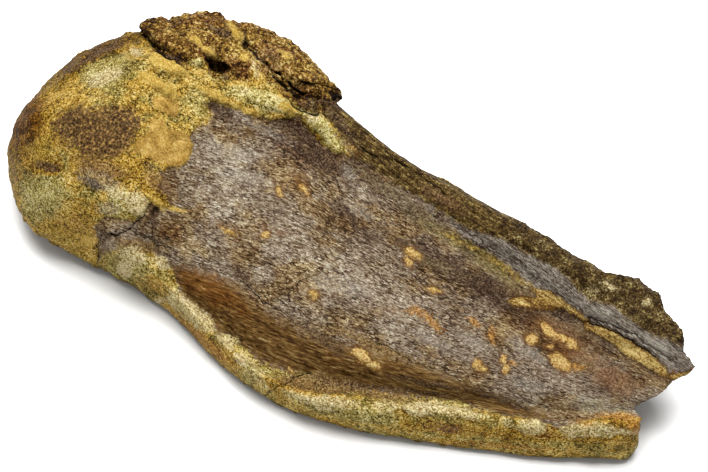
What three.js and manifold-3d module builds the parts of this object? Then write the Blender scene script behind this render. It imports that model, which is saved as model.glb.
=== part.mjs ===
// A fossil dinosaur bone section: the rounded end of a long bone and part of its shaft, lying with its
// hollowed face up. One solid in millimetres: +X runs along the bone from the rounded head to the broken
// end, +Y goes from the thin front lip to the thick back ridge, +Z is up, and it rests on Z = 0.
import * as THREE from "three";
import { ImprovedNoise } from "three/addons/math/ImprovedNoise.js";
import { mergeVertices } from "three/addons/utils/BufferGeometryUtils.js";
import Module from "manifold-3d";

const wasm = await Module();
wasm.setup();

// ---------------------------------------------------------------- driving dimensions
const HEAD_X = -100; // where the head's rounded end begins
const HEAD_REACH = 60.0; // how far the head's dome reaches past that
const HEAD_AXIS = { y: -16, z: 23.5 }; // the dome closes on this line
const HEAD_POWER = 1.94; // 2 is an ellipse, more is squarer
const HEAD_RINGS = 11;
const SHAFT_END_X = 166; // the loft ends here, past the break that cuts it

// The rings lie this far apart: [from x, step].
const ringSteps = [[HEAD_X, 4.1], [-30, 6.8], [84, 4.3]];

// The lines that run along the bone, as [x, y, z], in order round the section. Samples is how many
// points the section has from this line to the next. Line 0 is frontEdge, 1 lipCrest, and so on. A place
// on the surface is given as [x, line], where line 6.5 is half way from ridgeWall to ridgeCrest.
const guides = {
  frontEdge: {
    samples: 4,
    points: [
      [-130, -62.5, 14], [-100, -55.5, 14], [-80, -56.5, 12.5], [-60, -58, 10.5], [-40, -65, 9],
      [-20, -72, 8], [0, -76, 8], [20, -75.5, 8], [40, -72, 8], [60, -65, 8], [80, -56, 8],
      [120, -39.3, 8], [160, -20, 8],
    ],
  },
  lipCrest: {
    samples: 4,
    points: [
      [-130, -56.5, 42], [-100, -56, 44], [-80, -59, 36], [-60, -59, 26], [-40, -64, 21.5],
      [-20, -70.5, 20], [0, -76, 20], [20, -76.5, 20], [40, -71.5, 20.5], [60, -62, 21.5],
      [80, -53, 22], [120, -37, 23], [160, -16, 23],
    ],
  },
  trough: {
    samples: 5,
    points: [
      [-130, -46, 57], [-100, -46, 60], [-80, -51, 48], [-60, -54.5, 31], [-40, -59.5, 19.5],
      [-20, -65, 16.5], [0, -68, 15.5], [20, -64.5, 15.5], [60, -52, 17.5], [100, -38, 19.5],
      [160, -8, 23],
    ],
  },
  shoulder: {
    samples: 6,
    points: [
      [-130, -34, 66], [-100, -34, 70], [-80, -43, 58], [-60, -49, 41], [-40, -51, 33],
      [-20, -51.5, 30], [0, -54, 27.5], [40, -50, 26], [80, -40, 26], [120, -23, 25],
      [160, -2, 26],
    ],
  },
  middle: {
    samples: 7,
    points: [
      [-130, -16, 69], [-100, -16, 75], [-80, -22, 66], [-60, -25, 54], [-40, -24, 45],
      [-20, -24, 40.5], [0, -25, 37.5], [40, -27, 34], [80, -24, 31], [120, -14, 28],
      [160, 5, 26.5],
    ],
  },
  groove: {
    samples: 5,
    points: [
      [-130, 2, 69.5], [-100, 6, 76], [-80, 6, 66], [-60, 14, 56], [-40, 21, 47.5], [-20, 22, 43],
      [0, 20, 39.5], [20, 17, 37.5], [60, 11, 33.5], [100, 6.5, 31], [160, 6, 28],
    ],
  },
  ridgeWall: {
    samples: 5,
    points: [
      [-130, 20, 69.5], [-100, 24, 73], [-80, 23, 68], [-60, 27, 60], [-40, 32, 53.5],
      [-20, 33, 48.5], [0, 31, 45], [20, 27.5, 43], [60, 19.5, 41], [100, 12.5, 39.5],
      [120, 10.5, 38.5], [140, 10, 34.5], [160, 10, 31],
    ],
  },
  ridgeCrest: {
    samples: 6,
    points: [
      [-130, 40, 61], [-100, 42.5, 68], [-80, 44, 65], [-60, 45, 58.5], [-40, 43.5, 53],
      [-20, 39.5, 50.5], [0, 35.5, 47.5], [20, 32.5, 45.5], [60, 28, 46], [80, 24.8, 45.8],
      [100, 23, 46.5], [120, 23.5, 45.5], [140, 19, 39.5], [160, 14, 33],
    ],
  },
  backEdge: {
    samples: 4,
    points: [
      [-130, 52, 40], [-100, 58, 48], [-80, 61, 48], [-60, 59, 44], [-40, 51, 40], [-20, 44, 37],
      [0, 40.5, 36], [20, 39.5, 34], [60, 38, 33], [100, 33, 32], [120, 36, 32], [140, 31, 30],
      [160, 22, 24],
    ],
  },
  underBack: {
    samples: 3,
    points: [
      [-130, 40, 14], [-100, 46, 12], [-60, 42, 12], [-20, 30, 11], [20, 24, 9], [80, 22, 8],
      [160, 14, 12],
    ],
  },
  underMiddle: {
    samples: 3,
    points: [
      [-130, -5, 0], [-100, 0, -2], [-60, -5, -1], [0, -25, -1], [60, -22, -1.5], [120, -10, -1],
      [160, -4, 3],
    ],
  },
  underFront: {
    samples: 3,
    points: [
      [-130, -46, 2.5], [-100, -48, 2.5], [-60, -52, 1], [-20, -64, 0.5], [20, -68, 0],
      [80, -51, 0], [160, -16, 1],
    ],
  },
};

// Broken slabs of the bone's outer layer that stand proud of it. Rim and centre are [x, line, height
// over the surface]. The rings of a slab's top go from its centre out to its rim.
const SLAB_STEP = 4.8; // between points along a rim
const SLAB_ROOT = 5; // how deep a slab goes into the bone
const slabRings = [
  { reach: 0.25, lift: 1 }, { reach: 0.45, lift: 1 }, { reach: 0.62, lift: 1 }, { reach: 0.78, lift: 1 },
  { reach: 0.92, lift: 0.97 }, { reach: 1, lift: 0.7 },
];
const slabs = {
  overHead: {
    centre: [-102, 6.55, 2.6],
    rim: [
      [-123, 6.6, 3.6], [-119, 6.2, 3.6], [-114, 5.95, 3.6], [-106, 5.6, 3.6], [-99, 5.45, 3.4],
      [-92, 5.5, 3], [-87, 5.9, 2.8], [-82, 6.25, 2.6], [-80, 6.6, 2.6], [-81, 6.98, 2.4],
      [-86, 7.4, 2], [-94, 7.6, 1.6], [-104, 7.55, 1.6], [-115, 7.35, 2.4], [-122, 7, 3.2],
    ],
  },
  besidePit: {
    centre: [-67, 6.4, 2.8],
    rim: [
      [-83, 6.9, 3], [-84, 6.5, 2.8], [-80, 6.25, 2.6], [-75, 5.9, 1.8], [-67, 6.1, 1.6],
      [-57, 6.1, 2.2], [-50, 6.2, 2], [-48, 6.35, 2], [-55, 6.5, 2.6], [-67, 6.62, 2.6],
      [-74, 6.75, 2.8],
    ],
  },
  overShaft: {
    centre: [-63, 7.35, 4],
    rim: [
      [-80, 7.05, 3.2], [-73, 6.88, 3.4], [-66, 6.75, 3.8], [-61, 6.7, 4.2], [-54, 6.66, 4.8],
      [-50, 6.65, 5.2], [-45, 6.85, 5.8], [-41, 7.2, 6], [-38.5, 7.5, 5.8], [-40, 7.9, 5.2],
      [-52, 7.95, 4.6], [-66, 7.9, 4.2], [-78, 7.8, 4], [-87, 7.65, 3.8], [-91, 7.4, 3.6],
    ],
  },
  underEnd: {
    centre: [-42, 6.65, 2.6],
    rim: [
      [-48, 6.6, 1.8], [-44, 6.42, 2.2], [-38, 6.5, 2.2], [-36, 6.78, 1.8], [-39, 7.05, 2],
      [-45, 6.95, 2.2],
    ],
  },
};

// Cracks cut into the surface: [x, line, width, depth]. A crack is cut from this high over the surface,
// where it is wider by this much.
const CRACK_TOP = 14;
const CRACK_SPREAD = 1.8;
const cracks = {
  behindHead: [
    [-126, 6.7, 2, 4], [-119, 6.2, 2.2, 5], [-114, 5.94, 2.2, 5.5], [-106, 5.58, 2.2, 5.5],
    [-99, 5.42, 2.2, 5], [-92, 5.48, 1.8, 4],
  ],
  underSlab: [
    [-83, 7.05, 1.2, 3], [-77, 6.9, 1.8, 4.5], [-70, 6.75, 2.2, 5.5], [-64, 6.67, 2.6, 6.5],
    [-58, 6.62, 3.2, 8], [-53, 6.58, 4.2, 9], [-49, 6.6, 4.4, 9], [-46, 6.7, 2.6, 6],
    [-43, 6.9, 1.6, 4],
  ],
  headFront: [
    [-87, 0.2, 1.6, 2.5], [-87.5, 0.6, 1.8, 3], [-86, 0.95, 1.8, 3], [-80, 1.3, 1.6, 3],
    [-73, 2.25, 1.5, 2.5], [-71, 3, 1, 1.5],
  ],
  acrossLip: [
    [7, 0.05, 1.2, 1.5], [11, 0.8, 1.4, 2], [12, 1.65, 1.2, 1.8], [17, 2.2, 0.8, 1.2],
  ],
};

// The deep pit where the head and the slabs meet. Its levels are [part of the depth, part of the width].
const pit = { at: [-81.5, 6.02], length: 7.5, width: 6.5, depth: 15, corners: 12, unevenness: 0.18 };
const pitLevels = [[-0.5, 1.25], [-0.07, 1.1], [0.35, 0.95], [0.75, 0.7], [1, 0.3]];

// Lumps and hollows in the surface: [x, y, radius, height].
const swells = [
  [-112, 2, 12, 1.6], [-100, 8, 9, 1.4], [-88, 9, 8, 1.8], [-78, 12, 7, 2], [-69, 17, 7, 2],
  [-61, 22, 6, 1.6], [-53, 26, 6, 1.8], [-45, 31, 5, 1.2], [-88, 20, 5, 2], [-32, 30, 5, 1.4],
  [-98, -24, 11, -1.8], [-86, -8, 9, -1.6], [-127, -38, 12, -1], [-68, -50, 6, 1.4],
  [-76, -60, 6, 1], [80, 4, 4, 0.8], [87, 7, 4.5, 1.2], [93, 8, 4.5, 1.2], [100, 7.5, 4, 1.2],
  [106, 7, 4, 1.4], [113, 7, 4, 1.5], [120, 7, 4, 1.5], [127, 6.5, 4, 1.5], [133, 6, 4, 1.5],
  [139, 5, 4, 1.4], [144, 4.2, 3.5, 1], [36, -51.5, 5, 1],
];

// The bone's uneven surface: waves of these lengths and heights all over it, with more of them on the
// head, along the front lip and on the torn end of the ridge.
const waves = {
  broad: { length: 26, height: 1, seed: 3.7 },
  narrow: { length: 11, height: 0.5, seed: 9.2 },
  lumps: { length: 8.5, head: 1.6, lip: 1.4, ridge: 2.4, seed: 5.1 },
  teeth: { length: 4.6, ridge: 1.4, seed: 1.3 },
  slabLumps: { length: 12, height: 1.8, seed: 7.7 },
  slabTeeth: { length: 5.3, height: 2.4, seed: 4.4 },
  breakLumps: { length: 9, height: 1.8, seed: 2.2 },
  breakTeeth: { length: 4.3, height: 1.2, seed: 6.6 },
};

// The break across the shaft, in plan at the height BREAK_Z: [y, x]. The broken face leans under the
// bone by UNDERCUT, but stands upright at the lip.
const BREAK_Z = 28;
const UNDERCUT = 0.65;
const LIP_STANDS_AT = { from: -17, to: -12 }; // the lean begins between these y
const BREAK_STEP = 3.5;
const BREAK_REACH = { from: -6, to: 60, past: 230 }; // the cut's lowest and highest z, and how far in x
const breakLine = [
  [60, 100], [40, 113], [30, 121], [25, 126], [23, 130.5], [20.5, 136.5], [18, 141.5], [14, 144],
  [12, 149.5], [10, 152.5], [4, 151], [-3.5, 149.5], [-9, 146.5], [-13.5, 142.5], [-16.8, 145.5],
  [-20, 146.2], [-24.5, 145.2], [-28, 142], [-31, 137.5], [-36, 132], [-60, 126],
];

// ---------------------------------------------------------------- curves
const mix = (a, b, t) => a + (b - a) * t;

function smoothstep(from, to, value) {
  const t = Math.min(Math.max((value - from) / (to - from), 0), 1);
  return t * t * (3 - 2 * t);
}

// A cubic through the guide's points, as a function of x.
function guideAt(points, x) {
  const last = points.length - 1;
  if (x <= points[0][0]) return points[0].slice(1);
  if (x >= points[last][0]) return points[last].slice(1);
  let i = 0;
  while (points[i + 1][0] < x) i++;
  const a = points[Math.max(i - 1, 0)];
  const b = points[i];
  const c = points[i + 1];
  const d = points[Math.min(i + 2, last)];
  const span = c[0] - b[0];
  const t = (x - b[0]) / span;
  return [1, 2].map((k) => {
    const slopeB = i === 0 ? 0 : ((c[k] - a[k]) / (c[0] - a[0])) * span;
    const slopeC = ((d[k] - b[k]) / (d[0] - b[0])) * span;
    const t2 = t * t;
    const t3 = t2 * t;
    return (2 * t3 - 3 * t2 + 1) * b[k] + (t3 - 2 * t2 + t) * slopeB
      + (3 * t2 - 2 * t3) * c[k] + (t3 - t2) * slopeC;
  });
}

// How far the dome has closed at x: 1 along the shaft, 0 at the end of the head.
function domeAt(x) {
  const t = Math.min(Math.max((HEAD_X - x) / HEAD_REACH, 0), 1);
  return (1 - t * t) ** (1 / HEAD_POWER);
}

// The smooth surface at [x, line]: a loop through every guide, closed in by the dome.
const lines = Object.values(guides);
function surfaceAt(x, line) {
  const n = lines.length;
  const i = Math.floor(line);
  const t = line - i;
  const [a, b, c, d] = [i - 1, i, i + 1, i + 2].map((k) => guideAt(lines[(k + n) % n].points, x));
  const [y, z] = [0, 1].map((k) => 0.5 * (2 * b[k] + (c[k] - a[k]) * t
    + (2 * a[k] - 5 * b[k] + 4 * c[k] - d[k]) * t * t
    + (3 * b[k] - a[k] - 3 * c[k] + d[k]) * t * t * t));
  const dome = domeAt(x);
  return new THREE.Vector3(x, mix(HEAD_AXIS.y, y, dome), mix(HEAD_AXIS.z, z, dome));
}

// The point at a height over the surface, and the directions there.
function frameAt(x, line) {
  const along = surfaceAt(x + 0.5, line).sub(surfaceAt(x - 0.5, line)).normalize();
  const around = surfaceAt(x, line + 0.05).sub(surfaceAt(x, line - 0.05)).normalize();
  return { point: surfaceAt(x, line), along, around, normal: along.clone().cross(around).normalize() };
}

// ---------------------------------------------------------------- surface relief
const noise = new ImprovedNoise();

// A wave's value at the point p, from -1 to 1.
function wave(p, { length, seed }) {
  return noise.noise(p.x / length + seed, p.y / length - seed, p.z / length + 2 * seed);
}

// How far the surface stands out at the point p, which is on the given line.
function relief(p, line) {
  const { broad, narrow, lumps, teeth } = waves;
  const onTop = line > 0.5 && line < 8;
  const onHead = smoothstep(-62, -86, p.x);
  const onRidge = onTop ? smoothstep(80, 96, p.x) * smoothstep(6, 6.6, line) : 0;
  const onLip = line < 1.6 ? smoothstep(-84, -60, p.x) : 0;
  const lumpy = lumps.head * onHead + lumps.lip * onLip + lumps.ridge * onRidge;
  let height = broad.height * wave(p, broad) + narrow.height * wave(p, narrow);
  height += lumpy * wave(p, lumps) + teeth.ridge * onRidge * wave(p, teeth);
  if (!onTop) return height;
  for (const [x, y, radius, lift] of swells) {
    height += lift * smoothstep(radius, radius * 0.35, Math.hypot(p.x - x, p.y - y));
  }
  return height;
}

// ---------------------------------------------------------------- solids
const SAME_POINT = 1e-4;

// A solid from a closed skin, whichever way its triangles face.
function solidFrom({ points, triangles }) {
  const geometry = new THREE.BufferGeometry().setFromPoints(points).setIndex(triangles);
  const merged = mergeVertices(geometry, SAME_POINT);
  const vertProperties = merged.getAttribute("position").array;
  const triVerts = new Uint32Array(merged.index.array);
  const solid = new wasm.Manifold(new wasm.Mesh({ numProp: 3, vertProperties, triVerts }));
  if (solid.volume() > 0) return solid;
  return new wasm.Manifold(new wasm.Mesh({ numProp: 3, vertProperties, triVerts: triVerts.reverse() }));
}

function middleOf(points) {
  return points.reduce((sum, p) => sum.add(p), new THREE.Vector3()).divideScalar(points.length);
}

// A closed skin through rings of points, each with the same count, with a fan over each end.
function skin(rings, firstCap = middleOf(rings[0]), lastCap = middleOf(rings[rings.length - 1])) {
  const count = rings[0].length;
  const points = [firstCap, ...rings.flat(), lastCap];
  const id = (ring, k) => 1 + ring * count + ((k + count) % count);
  const end = points.length - 1;
  const triangles = [];
  for (let k = 0; k < count; k++) {
    triangles.push(0, id(0, k), id(0, k + 1));
    triangles.push(end, id(rings.length - 1, k + 1), id(rings.length - 1, k));
    for (let r = 0; r + 1 < rings.length; r++) {
      triangles.push(id(r, k), id(r + 1, k + 1), id(r, k + 1));
      triangles.push(id(r, k), id(r + 1, k), id(r + 1, k + 1));
    }
  }
  return { points, triangles };
}

// The whole bone before it is broken and cracked.
function loft() {
  const stations = [];
  for (let i = 1; i < HEAD_RINGS; i++) {
    stations.push(HEAD_X - HEAD_REACH * Math.cos((Math.PI / 2) * (i / HEAD_RINGS)));
  }
  ringSteps.forEach(([from, step], i) => {
    const to = i + 1 < ringSteps.length ? ringSteps[i + 1][0] : SHAFT_END_X;
    for (let x = from; x < to; x += step) stations.push(x);
  });
  const around = lines.flatMap(({ samples }, i) => (
    Array.from({ length: samples }, (_, s) => i + s / samples)
  ));
  const rings = stations.map((x) => around.map((line) => surfaceAt(x, line)));
  const tip = new THREE.Vector3(HEAD_X - HEAD_REACH, HEAD_AXIS.y, HEAD_AXIS.z);
  const { points, triangles } = skin(rings, tip);
  const geometry = new THREE.BufferGeometry().setFromPoints(points).setIndex(triangles);
  geometry.computeVertexNormals();
  const normals = geometry.getAttribute("normal");
  points.forEach((p, i) => {
    const normal = new THREE.Vector3().fromBufferAttribute(normals, i);
    p.addScaledVector(normal, relief(p.clone(), around[(i - 1 + around.length) % around.length]));
    p.z = Math.max(p.z, 0);
  });
  return solidFrom({ points, triangles });
}

// A rim with points this far apart.
function denseRim(rim, step) {
  return rim.flatMap(([x, line, height], i) => {
    const [x2, line2, height2] = rim[(i + 1) % rim.length];
    const count = Math.max(1, Math.round(surfaceAt(x, line).distanceTo(surfaceAt(x2, line2)) / step));
    return Array.from({ length: count }, (_, k) => k / count)
      .map((t) => [mix(x, x2, t), mix(line, line2, t), mix(height, height2, t)]);
  });
}

// A slab: rings from the middle of its top out to the rim, then down into the bone.
function slabSolid({ centre, rim }) {
  const { slabLumps, slabTeeth } = waves;
  const edge = denseRim(rim, SLAB_STEP);
  const top = slabRings.map(({ reach, lift }) => edge.map((spot) => {
    const [x, line, height] = spot.map((value, k) => mix(centre[k], value, reach));
    const { point, normal } = frameAt(x, line);
    const rough = slabTeeth.height * wave(point, slabTeeth) + slabLumps.height * wave(point, slabLumps);
    return point.addScaledVector(normal, height * lift + rough);
  }));
  const root = edge.map(([x, line]) => {
    const { point, normal } = frameAt(mix(centre[0], x, 0.97), mix(centre[1], line, 0.97));
    return point.addScaledVector(normal, -SLAB_ROOT);
  });
  return solidFrom(skin([...top, root]));
}

// A crack: a wedge that follows the path.
function crackSolid(path) {
  const rings = path.map(([x, line, width, depth], i) => {
    const { point, normal } = frameAt(x, line);
    const before = surfaceAt(...path[Math.max(i - 1, 0)]);
    const after = surfaceAt(...path[Math.min(i + 1, path.length - 1)]);
    const side = after.sub(before).cross(normal).normalize();
    const corner = (across, height) => (
      point.clone().addScaledVector(side, across).addScaledVector(normal, height)
    );
    return [
      corner(-CRACK_SPREAD * width / 2, CRACK_TOP),
      corner(CRACK_SPREAD * width / 2, CRACK_TOP),
      corner(width / 2, 0),
      corner(0, -depth),
      corner(-width / 2, 0),
    ];
  });
  return solidFrom(skin(rings));
}

// The pit: an uneven tapering hole.
function pitSolid({ at, length, width, depth, corners, unevenness }) {
  const { point, along, around, normal } = frameAt(...at);
  const rings = pitLevels.map(([down, spread]) => Array.from({ length: corners }, (_, k) => {
    const angle = (k / corners) * 2 * Math.PI;
    const size = (spread / 2) * (1 + unevenness * Math.sin(3 * angle - depth * down));
    return point.clone()
      .addScaledVector(normal, -depth * down)
      .addScaledVector(along, length * size * Math.cos(angle))
      .addScaledVector(around, width * size * Math.sin(angle));
  }));
  return solidFrom(skin(rings));
}

// What the break takes away: everything past a rough leaning face.
function breakSolid() {
  const { breakLumps, breakTeeth } = waves;
  const line = breakLine.flatMap(([y, x], i) => {
    if (i + 1 === breakLine.length) return [[y, x]];
    const [y2, x2] = breakLine[i + 1];
    const count = Math.max(1, Math.round(Math.hypot(x2 - x, y2 - y) / BREAK_STEP));
    return Array.from({ length: count }, (_, k) => [mix(y, y2, k / count), mix(x, x2, k / count)]);
  });
  const rows = [];
  for (let z = BREAK_REACH.from; z <= BREAK_REACH.to; z += BREAK_STEP) {
    const face = line.map(([y, x]) => {
      const lean = UNDERCUT * smoothstep(LIP_STANDS_AT.from, LIP_STANDS_AT.to, y);
      const point = new THREE.Vector3(x + lean * (z - BREAK_Z), y, z);
      point.x += breakLumps.height * wave(point, breakLumps) + breakTeeth.height * wave(point, breakTeeth);
      return point;
    });
    const past = [line[line.length - 1], line[0]].map(([y]) => new THREE.Vector3(BREAK_REACH.past, y, z));
    rows.push([...face, ...past]);
  }
  return solidFrom(skin(rows));
}

// ---------------------------------------------------------------- the part
let bone = loft().subtract(breakSolid());
for (const slab of Object.values(slabs)) bone = bone.add(slabSolid(slab));
for (const path of Object.values(cracks)) bone = bone.subtract(crackSolid(path));
bone = bone.subtract(pitSolid(pit));

const { min, max } = bone.boundingBox();
const mesh = bone.translate([-(min[0] + max[0]) / 2, -(min[1] + max[1]) / 2, -min[2]]).getMesh();
const geometry = new THREE.BufferGeometry();
geometry.setAttribute("position", new THREE.BufferAttribute(mesh.vertProperties, 3));
geometry.setIndex(new THREE.BufferAttribute(mesh.triVerts, 1));

const part = new THREE.Group();
const boneMesh = new THREE.Mesh(
  geometry,
  new THREE.MeshStandardMaterial({ color: 0x6b5a45, roughness: 0.8, metalness: 0 }),
);
boneMesh.name = "bone";
part.add(boneMesh);

export default part;
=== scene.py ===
"""The looks of a fossil dinosaur bone section: one weathered bone with its crust of matrix, on a pale floor.

The bone's surface is the CAD solid, remeshed finely, smoothed, and carved with pores, cracks, fibres and
crust. Where each kind of surface lies is drawn in the photograph's pixels (708 x 472), and thrown onto the
bone from the photograph's viewpoint. What that view doesn't show is filled in by rule.
"""
import math

import bpy
import numpy as np
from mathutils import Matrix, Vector, noise


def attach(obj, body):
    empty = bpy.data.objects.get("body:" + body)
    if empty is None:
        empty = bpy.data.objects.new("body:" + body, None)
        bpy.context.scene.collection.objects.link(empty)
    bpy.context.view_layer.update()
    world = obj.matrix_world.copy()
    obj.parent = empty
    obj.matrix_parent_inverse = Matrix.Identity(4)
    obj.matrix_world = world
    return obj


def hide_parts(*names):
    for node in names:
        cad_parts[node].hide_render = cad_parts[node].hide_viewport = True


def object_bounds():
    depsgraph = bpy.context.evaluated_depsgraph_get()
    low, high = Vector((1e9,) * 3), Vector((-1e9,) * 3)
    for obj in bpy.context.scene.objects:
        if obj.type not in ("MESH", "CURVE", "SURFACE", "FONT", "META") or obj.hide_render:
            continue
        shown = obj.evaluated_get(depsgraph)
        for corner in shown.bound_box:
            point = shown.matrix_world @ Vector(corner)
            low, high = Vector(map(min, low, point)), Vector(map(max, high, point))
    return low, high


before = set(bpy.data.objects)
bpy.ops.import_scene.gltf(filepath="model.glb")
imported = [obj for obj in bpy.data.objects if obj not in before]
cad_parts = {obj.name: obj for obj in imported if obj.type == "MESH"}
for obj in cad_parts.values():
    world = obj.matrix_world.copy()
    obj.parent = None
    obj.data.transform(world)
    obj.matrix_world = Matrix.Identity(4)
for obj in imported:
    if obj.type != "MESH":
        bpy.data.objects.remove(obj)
cad_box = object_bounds()

MM = 0.001

# ---- the photograph's viewpoint
PHOTO_WIDTH, PHOTO_HEIGHT = 708, 472
SENSOR = 36.0
LENS = 130.0
AZIMUTH, ELEVATION = 31.0, 50.0
CAMERA_DISTANCE = 1079.0
CAMERA_TARGET = np.array([2.02, 6.37, 30.0])
PIXELS_PER_MM = 2.37


def view_axes():
    """The photograph's right, up and backward directions."""
    a, e = math.radians(AZIMUTH), math.radians(ELEVATION)
    back = np.array([math.sin(a) * math.cos(e), -math.cos(a) * math.cos(e), math.sin(e)])
    right = np.array([math.cos(a), math.sin(a), 0.0])
    up = np.array([-math.sin(a) * math.sin(e), math.cos(a) * math.sin(e), math.cos(e)])
    return right, up, back


RIGHT, UP, BACK = view_axes()


def to_photo(points):
    """Where points of the bone, in mm, lie in the photograph, in pixels."""
    offset = points - CAMERA_TARGET
    focal = LENS / SENSOR * PHOTO_WIDTH
    depth = CAMERA_DISTANCE - offset @ BACK
    x = PHOTO_WIDTH / 2 + focal * (offset @ RIGHT) / depth
    y = PHOTO_HEIGHT / 2 - focal * (offset @ UP) / depth
    return np.stack([x, y], axis=1)


# ---- regions, as outlines in photo pixels
# The slabs' front edge, where they stand on the crust.
SLAB_EDGE = [
    (290, 101), (282, 95), (272, 85), (262, 76), (255, 66), (250, 68), (250, 80), (238, 82), (226, 80),
    (216, 77), (209, 71), (206, 63), (201, 58), (193, 57), (188, 62), (178, 63), (166, 55), (157, 51),
    (150, 43),
]

REGIONS = {
    "crust": [
        [(143, 30), (110, 36), (60, 66), (20, 108), (4, 160), (8, 215), (40, 250), (97, 275), (98, 258),
         (97, 246), (95, 236), (94, 226), (100, 219), (112, 217), (124, 218), (134, 220), (143, 214),
         (149, 206), (154, 202), (160, 207), (171, 207), (164, 197), (160, 188), (162, 178), (158, 171),
         (168, 168), (180, 167), (188, 160), (192, 148), (190, 136), (197, 126), (208, 123), (211, 116),
         (207, 104), (214, 101), (224, 103), (236, 109), (245, 114), (256, 116), (268, 120), (284, 120),
         (296, 116), (300, 106), *SLAB_EDGE],
        [(298, 110), (310, 111), (318, 112), (326, 118), (334, 125), (339, 136), (344, 147), (350, 156),
         (338, 153), (326, 147), (316, 140), (309, 130), (302, 120)],
        [(138, 22), (215, 52), (262, 56), (318, 100), (322, 116), (300, 116), (262, 100), (205, 92),
         (150, 62)],
    ],
    "slab": [
        [(141, 34), (138, 20), (152, 8), (205, 4), (255, 14), (300, 30), (360, 90), (352, 105), (337, 104),
         (325, 111), (310, 112), (300, 107), *SLAB_EDGE],
    ],
    "spongy": [
        [(62, 112), (75, 106), (95, 109), (112, 106), (130, 108), (143, 120), (138, 132), (130, 148),
         (114, 158), (98, 160), (84, 156), (70, 146), (56, 136), (52, 124)],
    ],
    "ochre": [
        [(153, 117), (161, 119), (170, 131), (189, 135), (193, 146), (187, 163), (173, 168), (157, 160),
         (134, 153), (136, 144), (146, 135), (150, 126)],
        [(152, 100), (164, 94), (174, 98), (179, 108), (176, 118), (166, 115), (156, 110)],
    ],
    "slope": [
        [(172, 266), (186, 267), (200, 272), (215, 275), (232, 285), (248, 297), (258, 306), (275, 317),
         (292, 325), (305, 333), (330, 340), (350, 345), (375, 352), (400, 359), (430, 369), (455, 377),
         (475, 386), (495, 395), (515, 403), (540, 411), (554, 420), (530, 420), (510, 417), (490, 413),
         (460, 403), (430, 399), (400, 396), (370, 392), (340, 386), (315, 379), (300, 373), (285, 369),
         (268, 366), (258, 360), (248, 352), (239, 345), (236, 337), (225, 334), (216, 332), (210, 322),
         (200, 313), (186, 303), (178, 290)],
    ],
    "lip": [
        [(96, 262), (103, 255), (110, 250), (118, 247), (134, 246), (150, 250), (163, 262), (172, 268),
         (178, 290), (186, 303), (200, 313), (210, 322), (216, 332), (225, 334), (236, 337), (239, 345),
         (248, 352), (258, 360), (268, 366), (282, 371), (292, 370), (303, 372), (315, 379), (340, 386),
         (370, 392), (400, 396), (430, 399), (460, 402), (490, 412), (510, 416), (530, 419), (545, 423),
         (556, 428), (572, 427), (587, 420), (600, 419), (606, 414), (616, 412), (630, 415), (650, 422),
         (650, 440), (640, 470), (560, 480), (440, 470), (330, 450), (250, 415), (195, 360), (150, 310),
         (96, 280)],
    ],
    "lip_crest": [
        [(165, 296), (176, 293), (188, 301), (200, 311), (212, 321), (216, 331), (206, 333), (196, 327),
         (184, 317), (172, 306)],
        [(215, 332), (226, 333), (236, 337), (238, 343), (232, 351), (222, 345)],
        [(232, 351), (241, 352), (252, 359), (262, 370), (265, 384), (272, 394), (262, 388), (250, 376),
         (238, 362)],
        [(280, 389), (295, 392), (312, 397), (330, 403), (345, 408), (330, 412), (305, 404), (288, 397)],
        [(374, 405), (384, 400), (396, 401), (400, 408), (388, 414), (378, 412)],
        [(402, 406), (420, 401), (445, 404), (468, 410), (492, 418), (478, 420), (455, 416), (430, 414),
         (408, 415)],
        [(500, 417), (510, 418), (513, 425), (505, 426)],
        [(513, 428), (522, 421), (535, 419), (546, 425), (545, 432), (535, 436), (520, 432)],
        [(558, 430), (566, 425), (585, 424), (605, 426), (622, 430), (610, 437), (590, 436), (572, 438)],
        [(154, 257), (162, 256), (171, 264), (168, 270), (158, 265)],
    ],
    "strip": [
        [(318, 108), (328, 100), (345, 100), (375, 120), (400, 145), (450, 172), (527, 212), (550, 236),
         (534, 254), (505, 243), (480, 235), (450, 219), (426, 203), (400, 187), (373, 169), (352, 157),
         (336, 138), (328, 124), (320, 114)],
    ],
    "ridge": [
        [(524, 212), (560, 230), (600, 255), (640, 262), (670, 285), (705, 325), (705, 350), (688, 346),
         (668, 339), (652, 335), (640, 327), (628, 317), (615, 307), (600, 302), (586, 300), (578, 289),
         (568, 278), (556, 268), (542, 261), (528, 254), (516, 246), (505, 240), (512, 225)],
    ],
    "band": [
        [(448, 219), (475, 232), (492, 238), (505, 240), (516, 246), (528, 254), (542, 261), (556, 268),
         (568, 278), (578, 289), (586, 300), (600, 302), (615, 307), (628, 317), (640, 327), (655, 336),
         (670, 341), (692, 350), (702, 364), (690, 372), (670, 372), (655, 360), (640, 348), (622, 338),
         (606, 328), (592, 325), (585, 318), (570, 304), (556, 295), (545, 290), (533, 286), (520, 276),
         (505, 262), (492, 253), (478, 245), (462, 236)],
    ],
    "seam": [
        [(507, 301), (513, 298), (521, 297), (530, 298), (538, 298), (536, 293), (529, 289), (540, 290),
         (549, 291), (556, 295), (563, 300), (571, 305), (578, 312), (586, 320), (592, 325), (604, 327),
         (612, 330), (620, 336), (632, 342), (643, 349), (655, 359), (668, 372), (667, 377), (658, 373),
         (646, 367), (632, 359), (624, 354), (617, 346), (606, 340), (595, 334), (587, 330), (583, 322),
         (575, 316), (567, 309), (556, 309), (547, 310), (538, 308), (526, 308), (512, 305)],
        [(670, 376), (678, 374), (690, 371), (694, 373), (684, 378), (674, 380)],
    ],
}

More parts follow.
